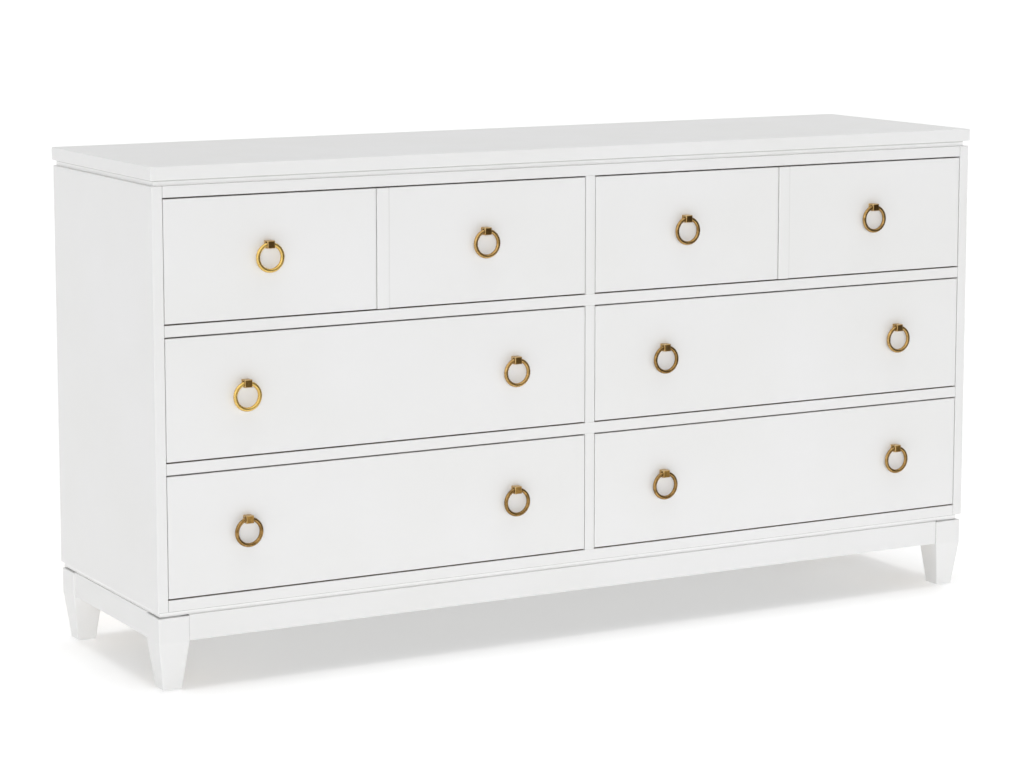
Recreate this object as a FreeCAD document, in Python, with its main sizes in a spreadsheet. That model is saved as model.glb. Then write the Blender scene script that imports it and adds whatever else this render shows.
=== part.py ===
"""A white campaign chest: six inset drawers with brass ring pulls, on four tapered legs.

The chest stands on the floor at Z = 0 with its front towards -Y. X runs across the front and
the origin lies under the middle of the whole chest, ring pulls included. Lengths are millimetres.
"""
import FreeCAD, Part
import os
import re
import Sketcher

# The driving dimensions, one cell of the sheet each.
DIMENSIONS = {
    # Case
    "case_width": 1676,
    "case_depth": 456,
    "panel_thickness": 19,
    "panel_ease": 1,
    "face_setback": 0.8,
    "back_thickness": 6,
    "back_rebate": 9,
    "rebate_clearance": 0.3,
    # Top and the two recessed necks
    "top_thickness": 23,
    "top_overhang": 2,
    "top_ease": 1.6,
    "neck_height": 9.5,
    "neck_front_inset": 9,
    "neck_side_inset": 6.5,
    # Rails, dividers and drawer runners
    "rail_height": 19.5,
    "rail_depth": 60,
    "rail_ease": 0.8,
    "rail_tenon_length": 10,
    "rail_tenon_height": 9.5,
    "rail_tenon_inset": 12,
    "back_rail_depth": 25,
    "divider_thickness": 19,
    "opening_height": 213,
    "side_runner_width": 32,
    "centre_runner_width": 80,
    "stop_depth": 20,
    "stop_width": 24,
    "stop_height": 30,
    "stop_clearance": 0.3,
    # Drawers
    "drawer_gap": 2.5,
    "drawer_side_gap": 1.5,
    "slide_clearance": 0.3,
    "front_thickness": 20,
    "front_ease": 1,
    "front_lap": 6,
    "side_thickness": 12,
    "side_ease": 2,
    "side_headroom": 13,
    "rear_thickness": 12,
    "rear_drop": 8,
    "bottom_thickness": 6,
    "bottom_rise": 10,
    "groove_depth": 6,
    "groove_slack": 0.5,
    "glue_line": 0.1,
    "tail_width_share": 0.72,
    "tail_slope_share": 0.14,
    # False divider on the top drawers
    "strip_width": 22,
    "strip_thickness": 2.5,
    "strip_ease": 0.8,
    "strip_housing": 3,
    "strip_gap": 0.9,
    # Ring pulls
    "ring_radius": 22.5,
    "ring_wire_radius": 3.5,
    "ring_standoff": 9.5,
    "ring_clearance": 0.35,
    "post_width": 13.5,
    "post_height": 13,
    "post_projection": 15.5,
    "post_chamfer": 1.2,
    "shank_radius": 3,
    "shank_clearance": 0.3,
    "shank_end": 1.5,
    "nut_radius": 5.8,
    "nut_thickness": 5,
    "pull_rise": 20,
    "wide_pull_spacing": 519,
    "top_pull_shift": -8,
    # Base
    "base_height": 130,
    "leg_width": 55.5,
    "foot_width": 34,
    "leg_inset": 1.8,
    "leg_ease": 1.2,
    "leg_shoulder_gap": 1.5,
    "leg_seat_inset": 10,
    "apron_height": 44,
    "apron_thickness": 20,
    "apron_setback": 2,
    "apron_ease": 1,
    "apron_tenon_length": 15,
    "apron_tenon_thickness": 8,
    "apron_tenon_inset": 7,
    "corner_block_reach": 130,
    "corner_block_height": 25,
    "glide_radius": 9,
    "glide_thickness": 2,
    # Length by which every cut runs past the face that it opens
    "overrun": 1,
}
FRONT_TAILS = 5
REAR_TAILS = 4
HEX_SIDES = 6
# How near an edge has to lie to a face of its piece to count as an edge of that face.
ON_FACE_SHARE = 0.000001

ROWS = ("bottom", "middle", "top")
BAYS = {"left": -1, "right": 1}
PULLS = {"left": -1, "right": 1}
# Corner of the chest, with the sign of X and Y there and the quarter turns of its leg.
CORNERS = {
    "front_left": (-1, -1, 0),
    "front_right": (1, -1, 1),
    "rear_right": (1, 1, 2),
    "rear_left": (-1, 1, 3),
}

doc = FreeCAD.newDocument("CampaignChest")
sheet = doc.addObject("Spreadsheet::Sheet", "Sizes")
for line, (alias, size) in enumerate(DIMENSIONS.items(), start=1):
    sheet.set(f"A{line}", alias)
    sheet.set(f"B{line}", str(size))
    sheet.setAlias(f"B{line}", alias)
doc.recompute()

# Places that several pieces share, as formulas of the sheet's names.
FRONT = "(-(case_depth + top_overhang - post_projection + face_setback) / 2)"
REAR = f"({FRONT} + case_depth)"
FACE = f"({FRONT} + face_setback)"
RAIL_REAR = f"({FACE} + rail_depth)"
BACK_FACE = f"({REAR} - back_thickness)"
BACK_RAIL_FRONT = f"({BACK_FACE} - back_rail_depth)"
CASE_HALF = "(case_width / 2)"
INNER_HALF = "(case_width / 2 - panel_thickness)"
CASE_BOTTOM = "(base_height + neck_height)"
ROW_PITCH = "(rail_height + opening_height)"
CASE_TOP = f"({CASE_BOTTOM} + {len(ROWS)} * {ROW_PITCH} + rail_height)"
TOP_BOTTOM = f"({CASE_TOP} + neck_height)"
BAY_WIDTH = f"({INNER_HALF} - divider_thickness / 2)"
BAY_MIDDLE = f"(({INNER_HALF} + divider_thickness / 2) / 2)"
FRONT_WIDTH = f"({BAY_WIDTH} - 2 * drawer_side_gap)"
FRONT_HEIGHT = "(opening_height - 2 * drawer_gap)"
DRAWER_LENGTH = "(case_depth - face_setback - back_thickness - stop_depth - stop_clearance)"
SIDE_HEIGHT = "(opening_height - side_headroom)"
TAIL_END = "(front_lap + glue_line)"
REAR_LOW = "(bottom_rise + bottom_thickness)"
REAR_HIGH = f"({SIDE_HEIGHT} - rear_drop)"
LEG_TOP = "(base_height - leg_shoulder_gap)"
APRON_BOTTOM = "(base_height - apron_height)"
# How far the ring's centre line bends away from straight inside the post.
RING_SAG = "(ring_radius - sqrt(ring_radius ^ 2 - (post_width / 2) ^ 2))"
# Half height of the tilted wire where it leaves the post.
WIRE_REACH = "(ring_wire_radius * ring_radius / sqrt(ring_radius ^ 2 - (post_width / 2) ^ 2))"
BORE_RADIUS = f"({WIRE_REACH} + {RING_SAG} / 2 + ring_clearance)"

nodes = {}


def formula(text):
    """Write a formula of the sheet's names as an expression on the sheet."""
    def reference(match):
        return f"Sizes.{match[0]}" if match[0] in DIMENSIONS else match[0]
    return re.sub(r"[a-z_]+", reference, text)


def value(text):
    """The number that a formula gives."""
    return float(sheet.evalExpression(formula(text)))


def place(piece, x="0", y="0", z="0"):
    """Bind the place of a piece to three formulas."""
    for axis, text in zip("xyz", (x, y, z)):
        piece.setExpression(f"Placement.Base.{axis}", formula(text))
    return piece


def node(label, piece):
    """Give a finished piece the label that names its file."""
    piece.Label = label
    nodes[label] = piece
    return piece


def group(label, pieces):
    """Keep several solids as one node."""
    bundle = doc.addObject("Part::Compound", label)
    bundle.Links = pieces
    return node(label, bundle)


def board(name, low, high):
    """A plain board between two corners, each given by three formulas."""
    box = doc.addObject("Part::Box", name)
    for side, start, end in zip(("Length", "Width", "Height"), low, high):
        box.setExpression(side, formula(f"({end}) - ({start})"))
    return place(box, *low)


def cut(name, base, tools):
    """Take some pieces out of another one."""
    result = doc.addObject("Part::Cut", name)
    result.Base = base
    result.Tool = tools[0]
    if len(tools) > 1:
        bundle = doc.addObject("Part::Compound", f"{name}_tools")
        bundle.Links = tools
        result.Tool = bundle
    return result


def fuse(name, pieces):
    """Join pieces that are worked from one stick of wood."""
    result = doc.addObject("Part::MultiFuse", name)
    result.Shapes = pieces
    return result


def on_face(shape, edge, side):
    """Whether an edge lies in the outermost plane of its shape on a side such as YMin."""
    axis = side[0]
    near = ON_FACE_SHARE * shape.BoundBox.DiagonalLength
    level = getattr(shape.BoundBox, side)
    low = getattr(edge.BoundBox, axis + "Min")
    high = getattr(edge.BoundBox, axis + "Max")
    return max(abs(low - level), abs(high - level)) < near


def ease(name, base, radius, sides):
    """Round the edges that lie on the named sides of a piece."""
    doc.recompute()
    rounded = doc.addObject("Part::Fillet", name)
    rounded.Base = base
    size = value(radius)
    rounded.Edges = [
        (number, size, size)
        for number, edge in enumerate(base.Shape.Edges, start=1)
        if any(on_face(base.Shape, edge, side) for side in sides)
    ]
    return rounded


def new_body(name):
    """An empty body."""
    return doc.addObject("PartDesign::Body", name)


def sketch_on(body, role, outlines=(), circles=(), offset="0"):
    """Draw outlines, lists of corners as pairs of formulas, and circles on a plane of the body."""
    sketch = body.newObject("Sketcher::SketchObject", f"{body.Name}_sketch")
    plane = [item for item in body.Origin.OriginFeatures if item.Role == role][0]
    sketch.AttachmentSupport = [(plane, "")]
    sketch.MapMode = "FlatFace"
    sketch.setExpression("AttachmentOffset.Base.z", formula(offset))
    for corners in outlines:
        draw_outline(sketch, corners)
    for centre, radius in circles:
        draw_circle(sketch, centre, radius)
    return sketch


def fix_point(sketch, geometry, point, corner):
    """Hold a point of the sketch at two formulas."""
    for kind, text in zip(("DistanceX", "DistanceY"), corner):
        number = sketch.addConstraint(
            Sketcher.Constraint(kind, -1, 1, geometry, point, value(text)))
        sketch.setExpression(f"Constraints[{number}]", formula(text))


def draw_outline(sketch, corners):
    """Draw a closed outline of straight lines and fix each corner."""
    points = [FreeCAD.Vector(value(x), value(y), 0) for x, y in corners]
    first = sketch.GeometryCount
    for start, end in zip(points, points[1:] + points[:1]):
        sketch.addGeometry(Part.LineSegment(start, end), False)
    last = sketch.GeometryCount - 1
    for line in range(first, last + 1):
        following = first if line == last else line + 1
        sketch.addConstraint(Sketcher.Constraint("Coincident", line, 2, following, 1))
    for line, corner in enumerate(corners, start=first):
        fix_point(sketch, line, 1, corner)


def draw_circle(sketch, centre, radius):
    """Draw a circle and fix its centre and radius."""
    middle = FreeCAD.Vector(value(centre[0]), value(centre[1]), 0)
    circle = sketch.addGeometry(Part.Circle(middle, FreeCAD.Vector(0, 0, 1), value(radius)), False)
    fix_point(sketch, circle, 3, centre)
    number = sketch.addConstraint(Sketcher.Constraint("Radius", circle, value(radius)))
    sketch.setExpression(f"Constraints[{number}]", formula(radius))


def rectangle(low, high):
    """The four corners of a rectangle between two corners."""
    return [low, (high[0], low[1]), high, (low[0], high[1])]


def pad(body, sketch, length, reversed_way=False):
    """Add material from a sketch."""
    feature = body.newObject("PartDesign::Pad", f"{body.Name}_pad")
    feature.Profile = sketch
    feature.setExpression("Length", formula(length))
    feature.Reversed = reversed_way
    body.Tip = feature
    return feature


def pocket(body, sketch, depth, reversed_way=False):
    """Take material away from a sketch."""
    feature = body.newObject("PartDesign::Pocket", f"{body.Name}_pocket")
    feature.Profile = sketch
    feature.setExpression("Length", formula(depth))
    feature.Reversed = reversed_way
    body.Tip = feature
    return feature


def repeat(body, feature, role, span, count):
    """Repeat a feature along an axis of its body, over a whole span."""
    row = body.newObject("PartDesign::LinearPattern", f"{body.Name}_row")
    row.Originals = [feature]
    axis = [item for item in body.Origin.OriginFeatures if item.Role == role][0]
    row.Direction = (axis, [""])
    row.setExpression("Length", formula(span))
    row.Occurrences = count
    body.Tip = row
    return row


def soften(body, kind, size, chosen):
    """Round or chamfer the chosen edges of a body."""
    doc.recompute()
    base = body.Tip
    names = [
        f"Edge{number}"
        for number, edge in enumerate(base.Shape.Edges, start=1)
        if chosen(base.Shape, edge)
    ]
    feature = body.newObject(f"PartDesign::{kind}", f"{body.Name}_{kind.lower()}")
    feature.Base = (base, names)
    feature.setExpression("Radius" if kind == "Fillet" else "Size", formula(size))
    body.Tip = feature
    return feature


def tail_outline(end, shoulder, middle, pitch):
    """A dovetail's outline, widest at its end and narrowing to the shoulder."""
    wide = f"({pitch} * tail_width_share / 2)"
    narrow = f"({wide} - abs(({shoulder}) - ({end})) * tail_slope_share)"
    return [
        (end, f"{middle} - {wide}"),
        (shoulder, f"{middle} - {narrow}"),
        (shoulder, f"{middle} + {narrow}"),
        (end, f"{middle} + {wide}"),
    ]


def cut_sockets(body, end, shoulder, low, high, count):
    """Cut a row of dovetail sockets into both ends of a board that lies along X."""
    pitch = f"((({high}) - ({low})) / {count})"
    outline = tail_outline(end, shoulder, f"({low}) + {pitch} / 2", pitch)
    for start, inwards in ((f"-{FRONT_WIDTH} / 2", True), (f"{FRONT_WIDTH} / 2", False)):
        sketch = sketch_on(body, "YZ_Plane", [outline], offset=start)
        socket = pocket(body, sketch, "side_thickness + glue_line", inwards)
        repeat(body, socket, "Z_Axis", f"{pitch} * {count - 1}", count)


def cut_tails(body, end, shoulder, low, high, count):
    """Cut the gaps between the tails at one end of a drawer side, a glue line wider than the pins."""
    pitch = f"((({high}) - ({low})) / {count})"
    narrow = f"({pitch} * (1 - tail_width_share) / 2 + glue_line)"
    wide = f"({narrow} + abs(({shoulder}) - ({end})) * tail_slope_share)"
    middle = f"({low}) + {pitch}"
    gap = [
        (end, f"{middle} - {narrow}"),
        (end, f"{middle} + {narrow}"),
        (shoulder, f"{middle} + {wide}"),
        (shoulder, f"{middle} - {wide}"),
    ]
    sketch = sketch_on(body, "YZ_Plane", [gap])
    opening = pocket(body, sketch, "side_thickness", True)
    repeat(body, opening, "Z_Axis", f"{pitch} * {count - 2}", count - 1)
    start = f"({low}) - glue_line"
    finish = f"({high}) + glue_line"
    lower = [(end, start), (end, f"({low}) + {narrow}"), (shoulder, f"({low}) + {wide}"), (shoulder, start)]
    upper = [(end, finish), (end, f"({high}) - {narrow}"), (shoulder, f"({high}) - {wide}"), (shoulder, finish)]
    ends = sketch_on(body, "YZ_Plane", [lower, upper])
    pocket(body, ends, "side_thickness", True)


def build_top():
    """The top slab and the recessed board that carries it."""
    reach = f"({CASE_HALF} + top_overhang)"
    slab = board(
        "top_slab",
        (f"-{reach}", f"{FRONT} - top_overhang", TOP_BOTTOM),
        (reach, f"{REAR} + top_overhang", f"{TOP_BOTTOM} + top_thickness"))
    node("top_panel", ease("top_panel", slab, "top_ease", ("XMin", "XMax", "YMin", "YMax")))
    node("sub_top", neck("sub_top", CASE_TOP))


def neck(name, bottom):
    """A board set in from the case's front and sides, which leaves the shadow line there."""
    reach = f"({CASE_HALF} - neck_side_inset)"
    low = (f"-{reach}", f"{FRONT} + neck_front_inset", bottom)
    high = (reach, REAR, f"{bottom} + neck_height")
    return board(name, low, high)


def rail_bottom(level):
    """Height of the underside of a rail, counted from the bottom one."""
    return f"({CASE_BOTTOM} + {level} * {ROW_PITCH})"


def rail_tenon(name, level, sign):
    """The stub tenon on one end of a front rail."""
    outer = f"({INNER_HALF} + rail_tenon_length)"
    near, far = (INNER_HALF, outer) if sign > 0 else (f"-{outer}", f"-{INNER_HALF}")
    low = f"({rail_bottom(level)} + (rail_height - rail_tenon_height) / 2)"
    return board(
        name,
        (near, f"{FACE} + rail_tenon_inset", low),
        (far, f"{RAIL_REAR} - rail_tenon_inset", f"{low} + rail_tenon_height"))


def build_sides_and_back():
    """Side panels, mortised for the rails and rebated for the back, and the thin back."""
    for name, sign in BAYS.items():
        near, far = (INNER_HALF, CASE_HALF) if sign > 0 else (f"-{CASE_HALF}", f"-{INNER_HALF}")
        panel = board(f"{name}_panel", (near, FRONT, CASE_BOTTOM), (far, REAR, CASE_TOP))
        panel = ease(f"{name}_panel_eased", panel, "panel_ease", ("YMin", "XMin" if sign < 0 else "XMax"))
        edge = f"({INNER_HALF} + back_rebate)"
        inside = f"({INNER_HALF} - overrun)"
        near, far = (inside, edge) if sign > 0 else (f"-{edge}", f"-{inside}")
        tools = [board(
            f"{name}_rebate",
            (near, BACK_FACE, f"{CASE_BOTTOM} - overrun"),
            (far, f"{REAR} + overrun", f"{CASE_TOP} + overrun"))]
        for level in range(len(ROWS) + 1):
            tools.append(rail_tenon(f"{name}_mortise_{level}", level, sign))
        node(f"{name}_side_panel", cut(f"{name}_side_panel", panel, tools))
    reach = f"({INNER_HALF} + back_rebate - rebate_clearance)"
    node("back_panel", board("back_panel", (f"-{reach}", BACK_FACE, CASE_BOTTOM), (reach, REAR, CASE_TOP)))


def build_frames():
    """Front rails, back rails, runners, dividers and stops: the frames that the drawers run in."""
    back_rails = []
    runners = []
    dividers = []
    stops = []
    for level, name in enumerate(("bottom_rail", "lower_rail", "upper_rail", "top_rail")):
        low = rail_bottom(level)
        high = f"({low} + rail_height)"
        stick = board(f"{name}_stick", (f"-{INNER_HALF}", FACE, low), (INNER_HALF, RAIL_REAR, high))
        stick = ease(f"{name}_eased", stick, "rail_ease", ("YMin",))
        tenons = [rail_tenon(f"{name}_{side}_tenon", level, sign) for side, sign in BAYS.items()]
        node(name, fuse(name, [stick] + tenons))
        back_rails.append(board(
            f"back_rail_{level}", (f"-{INNER_HALF}", BACK_RAIL_FRONT, low), (INNER_HALF, BACK_FACE, high)))
        strips = {
            "left": (f"-{INNER_HALF}", f"-{INNER_HALF} + side_runner_width"),
            "centre": ("-centre_runner_width / 2", "centre_runner_width / 2"),
            "right": (f"{INNER_HALF} - side_runner_width", INNER_HALF),
        }
        for place_name, (near, far) in strips.items():
            runners.append(board(
                f"{place_name}_runner_{level}", (near, RAIL_REAR, low), (far, BACK_RAIL_FRONT, high)))
    for row in range(len(ROWS)):
        low = f"({rail_bottom(row)} + rail_height)"
        divider = board(
            f"divider_{row}_board",
            ("-divider_thickness / 2", FACE, low),
            ("divider_thickness / 2", BACK_FACE, f"{low} + opening_height"))
        dividers.append(ease(f"divider_{row}", divider, "rail_ease", ("YMin",)))
        for bay, sign in BAYS.items():
            for end, way in PULLS.items():
                outer = f"({sign} * {BAY_MIDDLE} + {way} * ({FRONT_WIDTH} / 2))"
                inner = f"({outer} - {way} * stop_width)"
                near, far = (inner, outer) if way > 0 else (outer, inner)
                stops.append(board(
                    f"{bay}_{end}_stop_{row}",
                    (near, f"{BACK_FACE} - stop_depth", low),
                    (far, BACK_FACE, f"{low} + stop_height")))
    group("back_rails", back_rails)
    group("drawer_runners", runners)
    group("centre_dividers", dividers)
    group("drawer_stops", stops)


def build_leg(corner, x_sign, y_sign, turns):
    """A square leg with a tapered foot, mortised on its two inner faces for the aprons."""
    half = "(leg_width / 2)"
    foot = "(foot_width / 2)"
    seat = f"({half} - leg_seat_inset)"
    body = new_body(f"{corner}_leg")
    block = sketch_on(
        body, "XY_Plane", [rectangle((f"-{half}", f"-{half}"), (half, half))], offset=APRON_BOTTOM)
    pad(body, block, f"{LEG_TOP} - {APRON_BOTTOM}")
    wide = sketch_on(
        body, "XY_Plane", [rectangle((f"-{half}", f"-{half}"), (half, half))], offset=APRON_BOTTOM)
    narrow = sketch_on(
        body, "XY_Plane", [rectangle((f"-{foot}", f"-{foot}"), (foot, foot))], offset="glide_thickness")
    taper = body.newObject("PartDesign::AdditiveLoft", f"{corner}_taper")
    taper.Profile = wide
    taper.Sections = [narrow]
    taper.Ruled = True
    body.Tip = taper
    soften(body, "Fillet", "leg_ease", is_leg_edge)
    raised = sketch_on(
        body, "XY_Plane", [rectangle((f"-{seat}", f"-{seat}"), (seat, seat))], offset=LEG_TOP)
    pad(body, raised, "leg_shoulder_gap")
    centre = f"(-{half} + apron_setback + apron_thickness / 2)"
    low = f"({centre} - apron_tenon_thickness / 2)"
    high = f"({centre} + apron_tenon_thickness / 2)"
    tenon_low = f"({APRON_BOTTOM} + apron_tenon_inset)"
    tenon_high = "(base_height - apron_tenon_inset)"
    across = sketch_on(
        body, "YZ_Plane", [rectangle((low, tenon_low), (high, tenon_high))], offset=half)
    pocket(body, across, "apron_tenon_length")
    along = sketch_on(
        body, "XZ_Plane", [rectangle((low, tenon_low), (high, tenon_high))], offset=f"-{half}")
    pocket(body, along, "apron_tenon_length", True)
    quarter = 90
    body.Placement = FreeCAD.Placement(
        FreeCAD.Vector(), FreeCAD.Rotation(FreeCAD.Vector(0, 0, 1), turns * quarter))
    place(body, *leg_centre(x_sign, y_sign))
    return node(f"{corner}_leg", body)


def is_leg_edge(shape, edge):
    """Whether an edge runs down a corner of the leg or round its foot."""
    upright = edge.BoundBox.ZLength > max(edge.BoundBox.XLength, edge.BoundBox.YLength)
    return upright or on_face(shape, edge, "ZMin")


def leg_centre(x_sign, y_sign):
    """The place of a leg's middle."""
    x = f"{x_sign} * ({CASE_HALF} - leg_inset - leg_width / 2)"
    if y_sign < 0:
        return x, f"{FRONT} + leg_inset + leg_width / 2"
    return x, f"{REAR} - leg_inset - leg_width / 2"


def build_apron(name, low, high, tenons):
    """An apron board with a tenon on each end."""
    stick = ease(f"{name}_eased", board(f"{name}_stick", low, high), "apron_ease", ("ZMin",))
    ends = [board(f"{name}_tenon_{number}", *tenon) for number, tenon in enumerate(tenons)]
    return node(name, fuse(name, [stick] + ends))


def build_aprons():
    """The four aprons between the legs."""
    low = APRON_BOTTOM
    tenon_low = f"({low} + apron_tenon_inset)"
    tenon_high = "(base_height - apron_tenon_inset)"
    set_in = "(leg_inset + apron_setback)"
    cheek = "((apron_thickness - apron_tenon_thickness) / 2)"
    reach = f"({CASE_HALF} - leg_inset - leg_width)"
    for name, near in (("front_apron", f"({FRONT} + {set_in})"),
                       ("rear_apron", f"({REAR} - {set_in} - apron_thickness)")):
        far = f"({near} + apron_thickness)"
        tenons = []
        for start, end in ((f"(-{reach} - apron_tenon_length)", f"-{reach}"),
                           (reach, f"({reach} + apron_tenon_length)")):
            tenons.append(((start, f"{near} + {cheek}", tenon_low), (end, f"{far} - {cheek}", tenon_high)))
        build_apron(name, (f"-{reach}", near, low), (reach, far, "base_height"), tenons)
    first = f"({FRONT} + leg_inset + leg_width)"
    last = f"({REAR} - leg_inset - leg_width)"
    for name, near in (("left_apron", f"(-{CASE_HALF} + {set_in})"),
                       ("right_apron", f"({CASE_HALF} - {set_in} - apron_thickness)")):
        far = f"({near} + apron_thickness)"
        tenons = []
        for start, end in ((f"({first} - apron_tenon_length)", first),
                           (last, f"({last} + apron_tenon_length)")):
            tenons.append(((f"{near} + {cheek}", start, tenon_low), (f"{far} - {cheek}", end, tenon_high)))
        build_apron(name, (near, first, low), (far, last, "base_height"), tenons)


def build_corner_block(corner, x_sign, y_sign, turns):
    """A block that braces a leg between its two aprons."""
    edge = "(leg_width / 2)"
    cheek = f"(-{edge} + apron_setback + apron_thickness)"
    reach = f"(-{edge} + corner_block_reach)"
    outline = [(edge, cheek), (reach, cheek), (cheek, reach), (cheek, edge), (edge, edge)]
    body = new_body(f"{corner}_block")
    sketch = sketch_on(body, "XY_Plane", [outline], offset="base_height - corner_block_height")
    pad(body, sketch, "corner_block_height")
    quarter = 90
    body.Placement = FreeCAD.Placement(
        FreeCAD.Vector(), FreeCAD.Rotation(FreeCAD.Vector(0, 0, 1), turns * quarter))
    return place(body, *leg_centre(x_sign, y_sign))


def build_base():
    """The bottom board, legs, aprons, corner blocks and glides."""
    node("base_board", neck("base_board", "base_height"))
    build_aprons()
    blocks = []
    glides = []
    for corner, (x_sign, y_sign, turns) in CORNERS.items():
        build_leg(corner, x_sign, y_sign, turns)
        blocks.append(build_corner_block(corner, x_sign, y_sign, turns))
        glide = doc.addObject("Part::Cylinder", f"{corner}_glide")
        glide.setExpression("Radius", formula("glide_radius"))
        glide.setExpression("Height", formula("glide_thickness"))
        glides.append(place(glide, *leg_centre(x_sign, y_sign)))
    group("corner_blocks", blocks)
    group("foot_glides", glides)


def pull_offset(row, way):
    """X of a pull from the middle of its drawer."""
    if row == "top":
        return f"({way} * ({FRONT_WIDTH} / 2 + strip_width / 2) / 2 + top_pull_shift)"
    return f"({way} * wide_pull_spacing / 2)"


def build_front(name, row, place_of_drawer):
    """A drawer front with dovetail sockets, a groove for the bottom and holes for the pulls.

    A front of the top row also has a false divider, a strip let into a shallow housing.
    """
    half = f"({FRONT_WIDTH} / 2)"
    body = new_body(f"{name}_front")
    face = sketch_on(body, "XZ_Plane", [rectangle((f"-{half}", "0"), (half, FRONT_HEIGHT))])
    pad(body, face, "front_thickness", True)
    soften(body, "Fillet", "front_ease", lambda shape, edge: on_face(shape, edge, "YMin"))
    below = "(drawer_gap - slide_clearance)"
    cut_sockets(
        body, "front_lap", "front_thickness", f"-{below}", f"{SIDE_HEIGHT} - {below}", FRONT_TAILS)
    inner = f"({half} - side_thickness)"
    low = f"(bottom_rise - {below})"
    groove = sketch_on(
        body, "XZ_Plane",
        [rectangle((f"-{inner}", low), (inner, f"{low} + bottom_thickness"))],
        offset="-front_thickness")
    pocket(body, groove, "groove_depth", True)
    pull_height = f"({FRONT_HEIGHT} / 2 + pull_rise)"
    holes = [
        ((pull_offset(row, way), pull_height), "shank_radius + shank_clearance")
        for way in PULLS.values()
    ]
    drilled = sketch_on(body, "XZ_Plane", circles=holes)
    pocket(body, drilled, "front_thickness + overrun")
    place(body, place_of_drawer[0], place_of_drawer[1], f"{place_of_drawer[2]} + drawer_gap")
    if row != "top":
        return node(f"{name}_front", body)
    side = "(strip_width / 2 + strip_gap)"
    housing = sketch_on(
        body, "XZ_Plane",
        [rectangle((f"-{side}", "-overrun"), (side, f"{FRONT_HEIGHT} + overrun"))])
    pocket(body, housing, "strip_housing")
    strip = board(
        f"{name}_strip_board",
        (f"{place_of_drawer[0]} - strip_width / 2", f"{FACE} - strip_thickness",
         f"{place_of_drawer[2]} + drawer_gap"),
        (f"{place_of_drawer[0]} + strip_width / 2", f"{FACE} + strip_housing - glue_line",
         f"{place_of_drawer[2]} + opening_height - drawer_gap"))
    return group(f"{name}_front", [body, ease(f"{name}_strip", strip, "strip_ease", ("YMin",))])


def build_side(name, way, place_of_drawer):
    """A drawer side, dovetailed at both ends and grooved for the bottom."""
    body = new_body(f"{name}_side")
    blank = sketch_on(
        body, "YZ_Plane", [rectangle((TAIL_END, "0"), (DRAWER_LENGTH, SIDE_HEIGHT))])
    pad(body, blank, "side_thickness")
    soften(body, "Fillet", "side_ease", is_long_top_edge)
    cut_tails(body, TAIL_END, "front_thickness + glue_line", "0", SIDE_HEIGHT, FRONT_TAILS)
    cut_tails(
        body, DRAWER_LENGTH, f"{DRAWER_LENGTH} - rear_thickness - glue_line",
        REAR_LOW, REAR_HIGH, REAR_TAILS)
    outline = rectangle(
        ("front_thickness - groove_depth", "bottom_rise"),
        (f"{DRAWER_LENGTH} + overrun", "bottom_rise + bottom_thickness"))
    inner_face = "side_thickness" if way < 0 else "0"
    groove = sketch_on(body, "YZ_Plane", [outline], offset=inner_face)
    pocket(body, groove, "groove_depth", way > 0)
    edge = f"({place_of_drawer[0]} + {way} * ({FRONT_WIDTH} / 2))"
    corner = edge if way < 0 else f"({edge} - side_thickness)"
    return place(body, corner, place_of_drawer[1], f"{place_of_drawer[2]} + slide_clearance")


def is_long_top_edge(shape, edge):
    """Whether an edge runs along the top of a drawer side."""
    return on_face(shape, edge, "ZMax") and edge.BoundBox.YLength > edge.BoundBox.XLength


def build_rear(name, place_of_drawer):
    """A drawer back with sockets for the tails of both sides."""
    half = f"({FRONT_WIDTH} / 2)"
    body = new_body(f"{name}_rear")
    face = sketch_on(
        body, "XZ_Plane", [rectangle((f"-{half}", REAR_LOW), (half, REAR_HIGH))],
        offset=f"-{DRAWER_LENGTH}")
    pad(body, face, "rear_thickness")
    cut_sockets(
        body, DRAWER_LENGTH, f"{DRAWER_LENGTH} - rear_thickness", REAR_LOW, REAR_HIGH, REAR_TAILS)
    return place(body, place_of_drawer[0], place_of_drawer[1], f"{place_of_drawer[2]} + slide_clearance")


def build_post(name, x, z):
    """The square post of a ring pull, bored across for the ring, with its shank and nut."""
    half = "(post_width / 2)"
    body = new_body(f"{name}_post")
    block = sketch_on(
        body, "XZ_Plane",
        [rectangle((f"-{half}", "-post_height / 2"), (half, "post_height / 2"))])
    pad(body, block, "post_projection")
    soften(body, "Chamfer", "post_chamfer", lambda shape, edge: on_face(shape, edge, "YMin"))
    bore = sketch_on(
        body, "YZ_Plane", circles=[(("-ring_standoff", "0"), BORE_RADIUS)], offset=f"-{half} - overrun")
    pocket(body, bore, "post_width + 2 * overrun", True)
    stem = sketch_on(body, "XZ_Plane", circles=[(("0", "0"), "shank_radius")])
    pad(body, stem, "front_thickness + nut_thickness + shank_end", True)
    place(body, x, FACE, z)
    upright = FreeCAD.Rotation(FreeCAD.Vector(1, 0, 0), -90)
    hexagon = doc.addObject("Part::Prism", f"{name}_hexagon")
    hexagon.Polygon = HEX_SIDES
    hexagon.setExpression("Circumradius", formula("nut_radius"))
    hexagon.setExpression("Height", formula("nut_thickness"))
    thread = doc.addObject("Part::Cylinder", f"{name}_thread")
    thread.setExpression("Radius", formula("shank_radius + shank_clearance / 2"))
    thread.setExpression("Height", formula("nut_thickness"))
    for piece in (hexagon, thread):
        piece.Placement = FreeCAD.Placement(FreeCAD.Vector(), upright)
        place(piece, x, f"{FACE} + front_thickness", z)
    return [body, cut(f"{name}_nut", hexagon, [thread])]


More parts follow.
